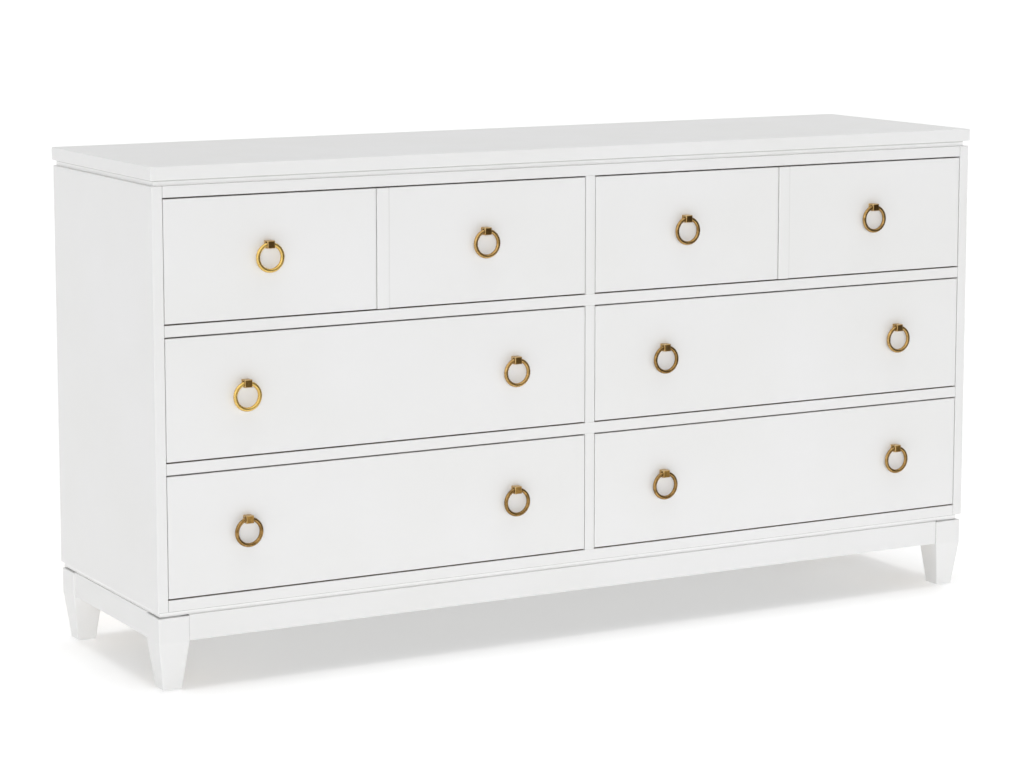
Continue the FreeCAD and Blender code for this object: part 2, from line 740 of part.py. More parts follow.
def build_ring(name, x, z):
    """The round ring that hangs in the bore of its post."""
    ring = doc.addObject("Part::Torus", name)
    ring.setExpression("Radius1", formula("ring_radius"))
    ring.setExpression("Radius2", formula("ring_wire_radius"))
    ring.Placement = FreeCAD.Placement(
        FreeCAD.Vector(), FreeCAD.Rotation(FreeCAD.Vector(1, 0, 0), 90))
    place(ring, x, f"{FACE} - ring_standoff", f"{z} + {RING_SAG} / 2 - ring_radius")
    return node(name, ring)


def build_drawer(row_number, row, bay, sign):
    """One drawer: front, dovetailed box, bottom, and two ring pulls."""
    name = f"{row}_{bay}_drawer"
    low = f"({rail_bottom(row_number)} + rail_height)"
    spot = (f"({sign} * {BAY_MIDDLE})", FACE, low)
    build_front(name, row, spot)
    sides = [build_side(f"{name}_{end}", way, spot) for end, way in PULLS.items()]
    group(f"{name}_box", sides + [build_rear(name, spot)])
    reach = f"({FRONT_WIDTH} / 2 - side_thickness + groove_depth - groove_slack)"
    floor = f"({low} + slide_clearance + bottom_rise)"
    node(f"{name}_bottom", board(
        f"{name}_bottom",
        (f"{spot[0]} - {reach}", f"{FACE} + front_thickness - groove_depth + groove_slack", floor),
        (f"{spot[0]} + {reach}", f"{FACE} + {DRAWER_LENGTH}", f"{floor} + bottom_thickness")))
    posts = []
    z = f"({low} + opening_height / 2 + pull_rise)"
    for end, way in PULLS.items():
        x = f"({spot[0]} + {pull_offset(row, way)})"
        posts += build_post(f"{name}_{end}", x, z)
        build_ring(f"{name}_{end}_ring", x, z)
    group(f"{name}_pull_posts", posts)


def build_chest():
    """Build every sub-part of the chest."""
    build_top()
    build_sides_and_back()
    build_frames()
    build_base()
    for row_number, row in enumerate(ROWS):
        for bay, sign in BAYS.items():
            build_drawer(row_number, row, bay, sign)
    doc.recompute()


def check_chest():
    """Stop if any object failed or any sub-part is empty or not sound."""
    for item in doc.Objects:
        if "Invalid" in item.State or "Error" in item.State:
            raise RuntimeError(f"{item.Name} failed: {item.State}")
    for label, piece in nodes.items():
        if piece.Shape.isNull() or not piece.Shape.isValid() or not piece.Shape.Solids:
            raise RuntimeError(f"{label} has no sound solid")


def write_parts():
    """Write each sub-part to its own file and report what was written."""
    os.makedirs("parts", exist_ok=True)
    for label, piece in nodes.items():
        piece.Shape.exportStep(f"parts/{label}.step")
        print(f"{label}: {len(piece.Shape.Solids)} solids, {piece.Shape.Volume:.0f} cubic millimetres")
    print(f"{len(nodes)} nodes")


build_chest()
check_chest()
write_parts()
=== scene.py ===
"""Dress the campaign chest: white lacquer, bare drawer wood, brass ring pulls, fasteners and a studio."""

import logging
import math
from dataclasses import dataclass, replace
from enum import Enum

import bmesh
import bpy
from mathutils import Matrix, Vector


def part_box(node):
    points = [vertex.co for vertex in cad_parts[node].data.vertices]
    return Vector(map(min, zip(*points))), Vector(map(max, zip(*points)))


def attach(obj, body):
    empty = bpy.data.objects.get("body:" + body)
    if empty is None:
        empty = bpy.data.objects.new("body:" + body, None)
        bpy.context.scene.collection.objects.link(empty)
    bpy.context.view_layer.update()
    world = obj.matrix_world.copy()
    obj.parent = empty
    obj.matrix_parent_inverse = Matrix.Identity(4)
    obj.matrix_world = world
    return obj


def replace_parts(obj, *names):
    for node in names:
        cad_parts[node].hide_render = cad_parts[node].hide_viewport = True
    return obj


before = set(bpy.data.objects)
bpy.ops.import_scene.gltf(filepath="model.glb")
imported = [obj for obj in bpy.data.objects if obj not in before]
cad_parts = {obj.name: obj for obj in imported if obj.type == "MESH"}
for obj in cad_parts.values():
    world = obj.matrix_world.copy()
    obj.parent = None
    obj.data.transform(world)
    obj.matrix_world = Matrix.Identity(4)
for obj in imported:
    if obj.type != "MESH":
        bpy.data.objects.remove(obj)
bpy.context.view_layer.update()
LOG = logging.getLogger("campaign_chest")
MM = 0.001
# Noise keeps mostly between the first two values; tones spread over the second two.
NOISE_LOW, NOISE_HIGH = 0.3, 0.7
TONE_LOW, TONE_HIGH = 0.35, 0.65
# Fixed seed of every random turn.
SEED = 7
Tree = bpy.types.NodeTree
Socket = bpy.types.NodeSocket
# Shader socket to the node or value that it gets.
Layers = dict[str, object]
# Places, each with the way that a piece there faces.
Spots = list[tuple[Vector, Vector]]


def linear(code: str) -> tuple[float, float, float, float]:
    """Turn an sRGB hex colour into linear values.

    Args:
        code: The colour as #RRGGBB.

    Returns:
        Linear red, green, blue and an alpha of one.
    """
    shares = [int(code[place:place + 2], 16) / 255 for place in (1, 3, 5)]
    red, green, blue = (
        share / 12.92 if share <= 0.04045 else ((share + 0.055) / 1.055) ** 2.4 for share in shares)
    return red, green, blue, 1.0


def add_node(tree: Tree, kind: str, inputs: dict | None = None,
             stops: list[tuple[float, str]] | None = None, **settings: object) -> bpy.types.Node:
    """Add a node with its settings, values and links.

    Args:
        tree: The node tree that gets the node.
        kind: The node's type name.
        inputs: Socket name or number to a value, to another node or to one of its outputs.
        stops: Places and hex colours of a colour ramp, from low to high.
        **settings: Properties of the node.

    Returns:
        The new node.
    """
    made = tree.nodes.new(kind)
    for name, setting in settings.items():
        setattr(made, name, setting)
    for key, given in (inputs or {}).items():
        socket = made.inputs[key] if isinstance(key, int) else next(
            one for one in made.inputs if one.enabled and one.name == key)
        if isinstance(given, bpy.types.Node):
            given = next(one for one in given.outputs if one.enabled)
        if isinstance(given, Socket):
            tree.links.new(given, socket)
        else:
            socket.default_value = given
    for number, (place, code) in enumerate(stops or ()):
        elements = made.color_ramp.elements
        element = elements[number] if number < 2 else elements.new(place)
        element.position, element.color = place, linear(code)
    return made


class Grain(Enum):
    """Which way the grain of a piece of wood runs, as the axis that a pattern is slow along."""

    ACROSS = (True, False, False)
    DEEP = (False, True, False)
    UP = (False, False, True)

    def stretched(self, stretch: float) -> tuple[float, float, float]:
        """Scales of a Mapping node that draw a pattern out along the grain."""
        return tuple(1 / stretch if slow else 1.0 for slow in self.value)


@dataclass(frozen=True)
class Finish:
    """A surface finish that makes one material and shares it."""

    name: str

    def material(self) -> bpy.types.Material:
        """Make the material of this finish on first use and find it again later.

        Returns:
            The material.
        """
        found = bpy.data.materials.get(self.name)
        if found:
            return found
        made = bpy.data.materials.new(self.name)
        made.use_nodes = True
        tree = made.node_tree
        tree.nodes.clear()
        layers = self.layers(tree, add_node(tree, "ShaderNodeTexCoord").outputs["Object"])
        shader = add_node(tree, "ShaderNodeBsdfPrincipled", layers)
        add_node(tree, "ShaderNodeOutputMaterial", {"Surface": shader})
        return made

    def layers(self, tree: Tree, at: Socket) -> Layers:
        """Build the patterns of this finish.

        Args:
            tree: The material's nodes.
            at: Object coordinates in metres.

        Returns:
            The shader's layers.
        """
        raise NotImplementedError


@dataclass(frozen=True)
class SatinLacquer(Finish):
    """White satin lacquer, sprayed over primed hardwood.

    The eye sees an even neutral white, a soft wide highlight that breaks up a little with the
    spray's orange peel, and fine lines where the grain below shows through the film.
    """

    grain: Grain = Grain.ACROSS
    clean: str = "#F0F0F0"
    shaded: str = "#EEEEED"
    cloud_mm: float = 260.0
    sheen_mm: float = 60.0
    # Real orange peel is 1 to 2 mm wide; drawn at 4 mm so that it shows from close by.
    peel_mm: float = 4.0
    peel_depth_mm: float = 0.02
    # Grain lines are about 0.5 mm wide; drawn at 1.2 mm so that they show at all.
    fibre_mm: float = 1.2
    fibre_depth_mm: float = 0.03
    # Length of the grain lines over their width.
    stretch: float = 60.0
    smooth: float = 0.38
    rough: float = 0.46
    # Index of refraction of cured lacquer.
    refraction: float = 1.48

    def layers(self, tree: Tree, at: Socket) -> Layers:
        """Build faint clouds of tone, uneven sheen, orange peel and grain lines.

        Args:
            tree: The material's nodes.
            at: Object coordinates in metres.

        Returns:
            The shader's layers.
        """
        clouds = add_node(tree, "ShaderNodeTexNoise", {
            "Vector": at, "Scale": 1 / (self.cloud_mm * MM), "Detail": 3.0})
        tone = add_node(tree, "ShaderNodeValToRGB", {"Fac": clouds}, [
            (TONE_LOW, self.shaded), (TONE_HIGH, self.clean)])
        sheen = add_node(tree, "ShaderNodeTexNoise", {
            "Vector": at, "Scale": 1 / (self.sheen_mm * MM), "Detail": 2.0})
        gloss = add_node(tree, "ShaderNodeMapRange", {
            "Value": sheen, "From Min": NOISE_LOW, "From Max": NOISE_HIGH,
            "To Min": self.smooth, "To Max": self.rough})
        peel = add_node(tree, "ShaderNodeTexNoise", {
            "Vector": at, "Scale": 1 / (self.peel_mm * MM), "Detail": 1.0})
        ripple = add_node(tree, "ShaderNodeBump", {
            "Height": peel, "Distance": self.peel_depth_mm * MM, "Strength": 0.3})
        drawn_out = add_node(tree, "ShaderNodeMapping", {
            "Vector": at, "Scale": self.grain.stretched(self.stretch)})
        fibres = add_node(tree, "ShaderNodeTexNoise", {
            "Vector": drawn_out, "Scale": 1 / (self.fibre_mm * MM), "Detail": 2.0})
        relief = add_node(tree, "ShaderNodeBump", {
            "Height": fibres, "Distance": self.fibre_depth_mm * MM, "Strength": 0.25, "Normal": ripple})
        return {"Base Color": tone, "Roughness": gloss, "Normal": relief, "IOR": self.refraction}


@dataclass(frozen=True)
class NeckLacquer(SatinLacquer):
    """The same lacquer on a recessed neck board.

    The eye sees thin grey lines along both seams, painted shade under the overhang above and in
    the corner below, and from under the chest a primed grey underside, drawn dark as painted
    shade on the floor beneath. Its white is painted paler, as painted light in the recess.
    """

    # Paler than the other lacquer: painted light that lifts the shade in the recess.
    clean: str = "#FCFCFC"
    shaded: str = "#FAFAF9"
    board: str = "sub_top"
    # Painted shade along the seams above and below.
    painted_seam_shade: str = "#D0D0CE"
    # Primed grey underside, drawn dark as painted shade for the floor under the chest.
    painted_shade_primer: str = "#B4B4B2"
    # The seams' shade is about 0.5 mm wide; drawn wider under the overhang, so that it shows.
    upper_mm: float = 2.8
    lower_mm: float = 0.1
    # A seam's shade fades over this much to either side of its edge.
    fade_mm: float = 0.3
    # What lies this close to the lowest level is the underside.
    under_mm: float = 0.05

    def layers(self, tree: Tree, at: Socket) -> Layers:
        """Paint shade along the board's upper and lower edge, and a dark grey, as painted shade,
        underneath.

        Args:
            tree: The material's nodes.
            at: Object coordinates in metres.

        Returns:
            The shader's layers.
        """
        plain = super().layers(tree, at)
        low, high = (corner[2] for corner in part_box(self.board))
        level = add_node(tree, "ShaderNodeSeparateXYZ", {"Vector": at}).outputs["Z"]
        fade = self.fade_mm * MM
        line = high - self.upper_mm * MM
        upper = add_node(tree, "ShaderNodeMapRange", {
            "Value": level, "From Min": line - fade, "From Max": line + fade})
        line = low + self.lower_mm * MM
        lower = add_node(tree, "ShaderNodeMapRange", {
            "Value": level, "From Min": line + fade, "From Max": line - fade})
        shade = add_node(tree, "ShaderNodeMath", {0: upper, 1: lower}, operation="MAXIMUM")
        # Painted shade along both seams.
        seamed = add_node(tree, "ShaderNodeMix", {
            "Factor": shade, "A": plain["Base Color"], "B": linear(self.painted_seam_shade)}, data_type="RGBA")
        # The underside's dark grey is painted shade.
        under = add_node(tree, "ShaderNodeMath", {
            0: level, 1: low + self.under_mm * MM}, operation="LESS_THAN")
        tone = add_node(tree, "ShaderNodeMix", {
            "Factor": under, "A": seamed, "B": linear(self.painted_shade_primer)}, data_type="RGBA")
        return {**plain, "Base Color": tone}


@dataclass(frozen=True)
class BareWood(Finish):
    """Planed wood under a thin clear coat.

    The eye sees growth bands drawn out along the grain, fine darker pores and a dull sheen.
    """

    pale: str = "#DFC39A"
    middle: str = "#D2B081"
    dark: str = "#B9915F"
    grain: Grain = Grain.DEEP
    band_mm: float = 30.0
    # Pores of birch are about 0.1 mm wide; drawn coarser so that they show.
    pore_mm: float = 0.9
    stretch: float = 22.0
    # Roughness of the coat, how much more the pores have and how much less the wood between them.
    gloss: float = 0.5
    dulled: float = 0.08
    polished: float = 0.05
    # Growth bands between the noise's lowest and highest value.
    band_count: float = 8.0
    # The pores' tint, and the noise values where it is full and where it ends.
    fleck: str = "#DCD4C8"
    fleck_at: float = 0.36
    clear_at: float = 0.5
    pore_depth_mm: float = 0.06

    def layers(self, tree: Tree, at: Socket) -> Layers:
        """Build growth bands, pores and their relief.

        Args:
            tree: The material's nodes.
            at: Object coordinates in metres.

        Returns:
            The shader's layers.
        """
        along = add_node(tree, "ShaderNodeMapping", {
            "Vector": at, "Scale": self.grain.stretched(self.stretch)})
        growth = add_node(tree, "ShaderNodeTexNoise", {
            "Vector": along, "Scale": 1 / (self.band_mm * MM), "Detail": 2.0, "Roughness": 0.4})
        years = add_node(tree, "ShaderNodeMath", {0: growth, 1: self.band_count}, operation="MULTIPLY")
        bands = add_node(tree, "ShaderNodeMath", {0: years}, operation="FRACT")
        tone = add_node(tree, "ShaderNodeValToRGB", {"Fac": bands}, [
            (0.0, self.pale), (0.6, self.middle), (0.9, self.dark), (1.0, self.pale)])
        pores = add_node(tree, "ShaderNodeTexNoise", {
            "Vector": along, "Scale": 1 / (self.pore_mm * MM), "Detail": 2.0})
        flecks = add_node(tree, "ShaderNodeValToRGB", {"Fac": pores}, [
            (self.fleck_at, self.fleck), (self.clear_at, "#FFFFFF")])
        wood = add_node(tree, "ShaderNodeMix", {"Factor": 1.0, "A": tone, "B": flecks},
                        data_type="RGBA", blend_type="MULTIPLY")
        gloss = add_node(tree, "ShaderNodeMapRange", {
            "Value": pores, "From Min": NOISE_LOW, "From Max": NOISE_HIGH,
            "To Min": self.gloss + self.dulled, "To Max": self.gloss - self.polished})
        relief = add_node(tree, "ShaderNodeBump", {
            "Height": pores, "Distance": self.pore_depth_mm * MM, "Strength": 0.4})
        return {"Base Color": wood, "Roughness": gloss, "Normal": relief}


@dataclass(frozen=True)
class JointLacquer(SatinLacquer):
    """The same lacquer on a rail or apron between two uprights.

    The eye sees a hairline at each end, where the lacquer bridges the joint.
    """

    hairline: str = "#AAAAA8"
    # Half the way from joint to joint, in metres; the joints lie alike on both sides.
    half_length: float = 0.0
    # A hairline joint is about 0.1 mm wide; drawn at 0.8 mm so that it shows.
    hairline_mm: float = 0.8

    def layers(self, tree: Tree, at: Socket) -> Layers:
        """Darken the lacquer at both ends.

        Args:
            tree: The material's nodes.
            at: Object coordinates in metres.

        Returns:
            The shader's layers.
        """
        plain = super().layers(tree, at)
        across = add_node(tree, "ShaderNodeSeparateXYZ", {"Vector": at}).outputs["X"]
        aside = add_node(tree, "ShaderNodeMath", {0: across}, operation="ABSOLUTE")
        joint = add_node(tree, "ShaderNodeMath", {
            0: aside, 1: self.half_length - self.hairline_mm * MM}, operation="GREATER_THAN")
        tone = add_node(tree, "ShaderNodeMix", {
            "Factor": joint, "A": plain["Base Color"], "B": linear(self.hairline)}, data_type="RGBA")
        return {**plain, "Base Color": tone}


@dataclass(frozen=True)
class RailLacquer(JointLacquer):
    """A lacquered rail of the case, bare inside the openings.

    The eye sees white in front and wood from a little way in, drawn greyer and darker than bare
    wood as painted shade, which keeps the drawers' gaps dark.
    """

    # Greyer and darker than the other bare wood: painted shade in the drawers' gaps.
    wood: BareWood = BareWood("rail_wood_darkened_as_shade", "#A99D88", "#978A73", "#796C57", Grain.ACROSS)
    # How far into an opening the lacquer laps.
    lap_mm: float = 3.0
    # The case's upper and lower end stay white, since the necks show them.
    end_mm: float = 1.0

    def layers(self, tree: Tree, at: Socket) -> Layers:
        """Put both finishes side by side where the lacquer ends.

        Args:
            tree: The material's nodes.
            at: Object coordinates in metres.

        Returns:
            The shader's layers.
        """
        outside, inside = super().layers(tree, at), self.wood.layers(tree, at)
        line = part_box("bottom_rail")[0][1] + self.lap_mm * MM
        low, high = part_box("bottom_rail")[0][2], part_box("top_rail")[1][2]
        place = add_node(tree, "ShaderNodeSeparateXYZ", {"Vector": at})
        deep = add_node(tree, "ShaderNodeMath", {
            0: place.outputs["Y"], 1: line}, operation="GREATER_THAN")
        within = add_node(tree, "ShaderNodeMath", {
            0: place.outputs["Z"], 1: (low + high) / 2, 2: (high - low) / 2 - self.end_mm * MM},
            operation="COMPARE")
        bare = add_node(tree, "ShaderNodeMath", {0: deep, 1: within}, operation="MULTIPLY")
        tone = add_node(tree, "ShaderNodeMix", {
            "Factor": bare, "A": outside["Base Color"], "B": inside["Base Color"]}, data_type="RGBA")
        return {**outside, "Base Color": tone}


@dataclass(frozen=True)
class DrawerBoxWood(Finish):
    """Clear-coated birch boards of a drawer box.

    The eye sees the grain run along the sides, and across in the back board.
    """

    sides: BareWood = BareWood("birch_side")
    back: BareWood = BareWood("birch_back", grain=Grain.ACROSS)
    # From the box's rear end to just in front of the back board's inner face.
    back_mm: float = 12.6

    def layers(self, tree: Tree, at: Socket) -> Layers:
        """Put both boards' patterns side by side where the back board begins.

        Args:
            tree: The material's nodes.
            at: Object coordinates in metres.

        Returns:
            The shader's layers.
        """
        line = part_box("bottom_left_drawer_box")[1][1] - self.back_mm * MM
        sides, back = self.sides.layers(tree, at), self.back.layers(tree, at)
        depth = add_node(tree, "ShaderNodeSeparateXYZ", {"Vector": at})
        behind = add_node(tree, "ShaderNodeMath", {
            0: depth.outputs["Y"], 1: line}, operation="GREATER_THAN")
        tone = add_node(tree, "ShaderNodeMix", {
            "Factor": behind, "A": sides["Base Color"], "B": back["Base Color"]}, data_type="RGBA")
        return {**sides, "Base Color": tone}


@dataclass(frozen=True)
class LacqueredFront(Finish):
    """A drawer front: lacquered face, edges and dovetail pins, bare wood inside.

    The eye sees white from outside, and on an open drawer white pins between wooden tails and the
    wood of the inner face.
    """

    lacquer: SatinLacquer = SatinLacquer("front_lacquer")
    wood: BareWood = BareWood("front_wood", "#D9B98C", "#C9A475", "#AD8452", Grain.ACROSS)
    # How far behind the face the paint ends, just short of the inner face.
    lap_mm: float = 19.5
    # The paint's edge fades over this much to either side.
    fade_mm: float = 0.1

    def layers(self, tree: Tree, at: Socket) -> Layers:
        """Put both finishes side by side at the paint's edge.

        Args:
            tree: The material's nodes.
            at: Object coordinates in metres.

        Returns:
            The shader's layers.
        """
        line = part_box("bottom_left_drawer_front")[0][1] + self.lap_mm * MM
        outside, inside = self.lacquer.layers(tree, at), self.wood.layers(tree, at)
        depth = add_node(tree, "ShaderNodeSeparateXYZ", {"Vector": at})
        fade = self.fade_mm * MM
        bare = add_node(tree, "ShaderNodeMapRange", {
            "Value": depth.outputs["Y"], "From Min": line - fade, "From Max": line + fade})
        tone = add_node(tree, "ShaderNodeMix", {
            "Factor": bare, "A": outside["Base Color"], "B": inside["Base Color"]}, data_type="RGBA")
        gloss = add_node(tree, "ShaderNodeMix", {
            "Factor": bare, "A": outside["Roughness"], "B": inside["Roughness"]}, data_type="FLOAT")
        return {**outside, "Base Color": tone, "Roughness": gloss}


@dataclass(frozen=True)
class StripFront(LacqueredFront):
    """A top drawer's front, with a flat strip let into its middle.

    The eye sees painted shade in the two narrow grooves beside the strip, and a little of it on
    their rims.
    """

    drawer: str = "top_left_drawer"
    # Painted shade in the grooves and a trace of it on their rims.
    painted_groove_shade: str = "#B2B2AF"
    # From the strip's middle to the middle of a groove with its rim, half their width, and the
    # grooves' depth.
    groove_mm: float = 12.55
    half_width_mm: float = 1.65
    depth_mm: float = 3.2
    # The painted shade grows from just before the face, so that the rims get a trace, to a little behind
    # it.
    before_mm: float = 0.05
    behind_mm: float = 0.3

    def layers(self, tree: Tree, at: Socket) -> Layers:
        """Paint shade on the grooves' walls and floor, and a little on their rims.

        Args:
            tree: The material's nodes.
            at: Object coordinates in metres.

        Returns:
            The shader's layers.
        """
        plain = super().layers(tree, at)
        low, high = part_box(f"{self.drawer}_box")
        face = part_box("bottom_left_drawer_front")[0][1]
        place = add_node(tree, "ShaderNodeSeparateXYZ", {"Vector": at})
        offset = add_node(tree, "ShaderNodeMath", {
            0: place.outputs["X"], 1: (low[0] + high[0]) / 2}, operation="SUBTRACT")
        aside = add_node(tree, "ShaderNodeMath", {0: offset}, operation="ABSOLUTE")
        near = add_node(tree, "ShaderNodeMath", {
            0: aside, 1: self.groove_mm * MM, 2: self.half_width_mm * MM}, operation="COMPARE")
        shallow = add_node(tree, "ShaderNodeMath", {
            0: place.outputs["Y"], 1: face + self.depth_mm * MM}, operation="LESS_THAN")
        beside = add_node(tree, "ShaderNodeMath", {0: near, 1: shallow}, operation="MULTIPLY")
        deep = add_node(tree, "ShaderNodeMapRange", {
            "Value": place.outputs["Y"], "From Min": face - self.before_mm * MM,
            "From Max": face + self.behind_mm * MM})
        groove = add_node(tree, "ShaderNodeMath", {0: beside, 1: deep}, operation="MULTIPLY")
        # Painted shade in the grooves and on their rims.
        tone = add_node(tree, "ShaderNodeMix", {
            "Factor": groove, "A": plain["Base Color"], "B": linear(self.painted_groove_shade)}, data_type="RGBA")
        return {**plain, "Base Color": tone}


@dataclass(frozen=True)
class Brass(Finish):
    """Cast brass, polished and left to tone.

    The eye sees a warm metal with a soft mirror of the room, browner and duller in patches.
    """

    bright: str = "#C9A45A"
    toned: str = "#A07C40"
    patch_mm: float = 7.0
    # Polishing lines are finer than 0.1 mm; drawn at 0.6 mm so that they show.
    polish_mm: float = 0.6
    polish_depth_mm: float = 0.02
    smooth: float = 0.24
    rough: float = 0.38
    # Noise values below which the brass is toned and above which it is bright.
    toned_at: float = 0.36
    bright_at: float = 0.64

    def layers(self, tree: Tree, at: Socket) -> Layers:
        """Build patches of tone and polishing lines.

        Args:
            tree: The material's nodes.
            at: Object coordinates in metres.

        Returns:
            The shader's layers.
        """
        patches = add_node(tree, "ShaderNodeTexNoise", {
            "Vector": at, "Scale": 1 / (self.patch_mm * MM), "Detail": 4.0, "Roughness": 0.62})
        tone = add_node(tree, "ShaderNodeValToRGB", {"Fac": patches}, [
            (self.toned_at, self.toned), (self.bright_at, self.bright)])
        gloss = add_node(tree, "ShaderNodeMapRange", {
            "Value": patches, "From Min": NOISE_LOW, "From Max": NOISE_HIGH,
            "To Min": self.rough, "To Max": self.smooth})
        polish = add_node(tree, "ShaderNodeTexNoise", {
            "Vector": at, "Scale": 1 / (self.polish_mm * MM), "Detail": 2.0})
        relief = add_node(tree, "ShaderNodeBump", {
            "Height": polish, "Distance": self.polish_depth_mm * MM, "Strength": 0.3})
        return {"Base Color": tone, "Roughness": gloss, "Normal": relief, "Metallic": 1.0}


@dataclass(frozen=True)
class PostBrass(Finish):
    """Brass posts of the pulls: face drawn darker, partly toning and partly painted reflection,
    sides and top paler as a painted highlight.

    The eye sees a dark or golden face with a paler edge on the sides that the light strikes.
    """

    # The face's darker brass is partly toning, partly painted reflection; the sides' paler brass is a
    # painted highlight.
    face: Brass = Brass("post_face_painted_reflection")
    sides: Brass = Brass("post_sides_painted_highlight", "#D9BC86", "#BE9A5F", smooth=0.22, rough=0.34)
    # How far behind the face the darker face colour ends, and over how much to either side it fades.
    skin_mm: float = 0.5
    fade_mm: float = 0.3

    def layers(self, tree: Tree, at: Socket) -> Layers:
        """Put both brasses side by side just behind the face.

        Args:
            tree: The material's nodes.
            at: Object coordinates in metres.

        Returns:
            The shader's layers.
        """
        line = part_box("bottom_left_drawer_pull_posts")[0][1] + self.skin_mm * MM
        face, sides = self.face.layers(tree, at), self.sides.layers(tree, at)
        depth = add_node(tree, "ShaderNodeSeparateXYZ", {"Vector": at})
        fade = self.fade_mm * MM
        behind = add_node(tree, "ShaderNodeMapRange", {
            "Value": depth.outputs["Y"], "From Min": line - fade, "From Max": line + fade})
        # Darker face partly as painted reflection, paler sides and top as painted highlight.
        tone = add_node(tree, "ShaderNodeMix", {
            "Factor": behind, "A": face["Base Color"], "B": sides["Base Color"]}, data_type="RGBA")
        return {**face, "Base Color": tone}


@dataclass(frozen=True)
class SmallHardware(Finish):
    """Zinc-plated steel or moulded nylon in a small size.

    The eye sees the crystals of the plating, or a dull moulded skin.
    """

    light: str = "#C9CBCB"
    dark: str = "#A3A5A5"
    mottle_mm: float = 1.5
    metal: float = 1.0
    # Roughness in the middle, and how far the spots go to either side of it.
    gloss: float = 0.34
    gloss_spread: float = 0.08
    spot_depth_mm: float = 0.02

    def layers(self, tree: Tree, at: Socket) -> Layers:
        """Build the mottle.

        Args:
            tree: The material's nodes.
            at: Object coordinates in metres.

        Returns:
            The shader's layers.
        """
        spots = add_node(tree, "ShaderNodeTexNoise", {
            "Vector": at, "Scale": 1 / (self.mottle_mm * MM), "Detail": 3.0})
        tone = add_node(tree, "ShaderNodeValToRGB", {"Fac": spots}, [
            (TONE_LOW, self.dark), (TONE_HIGH, self.light)])
        gloss = add_node(tree, "ShaderNodeMapRange", {
            "Value": spots, "From Min": NOISE_LOW, "From Max": NOISE_HIGH,
            "To Min": self.gloss + self.gloss_spread, "To Max": self.gloss - self.gloss_spread})
        relief = add_node(tree, "ShaderNodeBump", {
            "Height": spots, "Distance": self.spot_depth_mm * MM, "Strength": 0.3})
        return {"Base Color": tone, "Roughness": gloss, "Normal": relief, "Metallic": self.metal}


class PatinaAndReflection(Enum):
    """How dark a ring's brass is drawn: partly toning, partly painted reflection, set ring by ring."""

    # The brighter rings stand partly for painted reflection of the lit floor, the darker ones partly for
    # its shade.
    BRIGHT = Brass("bright_polished_brass", "#E8C674", "#DAB566", smooth=0.24, rough=0.32)
    WARM = Brass("warm_toned_brass_painted_reflection", "#C6A368", "#AB874F", smooth=0.22, rough=0.32)
    ANTIQUE = Brass("antique_toned_brass_painted_reflection", "#BD9A60", "#947344", smooth=0.18, rough=0.3)
    DEEP = Brass("deep_toned_brass_painted_reflection", "#B08C55", "#7E6136", smooth=0.16, rough=0.28)


class PostFace(Enum):
    """How dark the faces of a drawer's two posts are: partly toning, partly painted reflection."""

    BRONZED = PostBrass("bronzed_posts_painted_light", Brass(
        "bronzed_face_painted_reflection", "#93733F", "#745630", smooth=0.28, rough=0.42))
    BROWNED = PostBrass("browned_posts_painted_light", Brass(
        "browned_face_painted_reflection", "#A68450", "#84663A", smooth=0.28, rough=0.42))
    GOLDEN = PostBrass("golden_posts_painted_light", Brass(
        "golden_face_painted_reflection", "#BC9350", "#94713C", smooth=0.26, rough=0.4))


PAINT = {way: SatinLacquer(f"satin_white_lacquer_{way.name.lower()}", way) for way in Grain}
# The colour along each neck board's seams is painted shade.
NECK_PAINT = {board: NeckLacquer(f"satin_white_lacquer_{board}", board=board, painted_seam_shade=painted_seam_shade)
              for board, painted_seam_shade in (("sub_top", "#D0D0CE"), ("base_board", "#C0C0BE"))}
RAIL_PAINT = RailLacquer("satin_white_lacquer_rails", half_length=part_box("right_side_panel")[0][0])
APRON_PAINT = JointLacquer("satin_white_lacquer_aprons", half_length=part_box("front_right_leg")[0][0])
FRONT_PAINT = LacqueredFront("satin_white_lacquer_on_birch")
STRIP_PAINT = {bay: StripFront(f"satin_white_lacquer_top_{bay}", drawer=f"top_{bay}_drawer")
               for bay in ("left", "right")}
BOX_WOOD = DrawerBoxWood("clear_coated_birch")
BOTTOM_PLY = BareWood(
    "birch_plywood_bottom", "#E3CAA2", "#DABB8C", "#C8A372", Grain.ACROSS,
    band_mm=60.0, pore_mm=1.2, stretch=8.0, gloss=0.55)
BACK_PLY = BareWood(
    "birch_plywood_back", "#E0C8A2", "#D8BC93", "#C9A97C", Grain.ACROSS,
    band_mm=70.0, pore_mm=1.4, stretch=15.0, gloss=0.58)
RUNNER_PINE = BareWood(
    "planed_pine", "#E5CB98", "#DBB97F", "#C39556", Grain.DEEP,
    band_mm=26.0, pore_mm=1.0, stretch=18.0, gloss=0.6)
RAIL_PINE = replace(RUNNER_PINE, name="planed_pine_rail", grain=Grain.ACROSS)
NYLON = SmallHardware("moulded_nylon", "#3B3936", "#2F2D2B", mottle_mm=4.0, metal=0.0, gloss=0.5)
ZINC = SmallHardware("zinc_plated_steel")


def dress(node: str, finish: Finish) -> None:
    """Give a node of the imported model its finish.

    Args:
        node: The node's name.
        finish: The finish that it gets.
    """
    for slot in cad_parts[node].material_slots:
        slot.material = finish.material()
    LOG.info("%s: %s", node, finish.name)


def keep(name: str, mesh: bpy.types.Mesh, body: str) -> bpy.types.Object:
    """Put a finished mesh into the scene as a piece that rides on a body.

    Args:
        name: The piece's name.
        mesh: Its mesh, already in place.
        body: The body that it rides on.

    Returns:
        The new object.
    """
    piece = bpy.data.objects.new(name, mesh)
    bpy.context.scene.collection.objects.link(piece)
    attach(piece, body)
    LOG.info("%s: %d faces, rides on %s", name, len(mesh.polygons), body)
    return piece


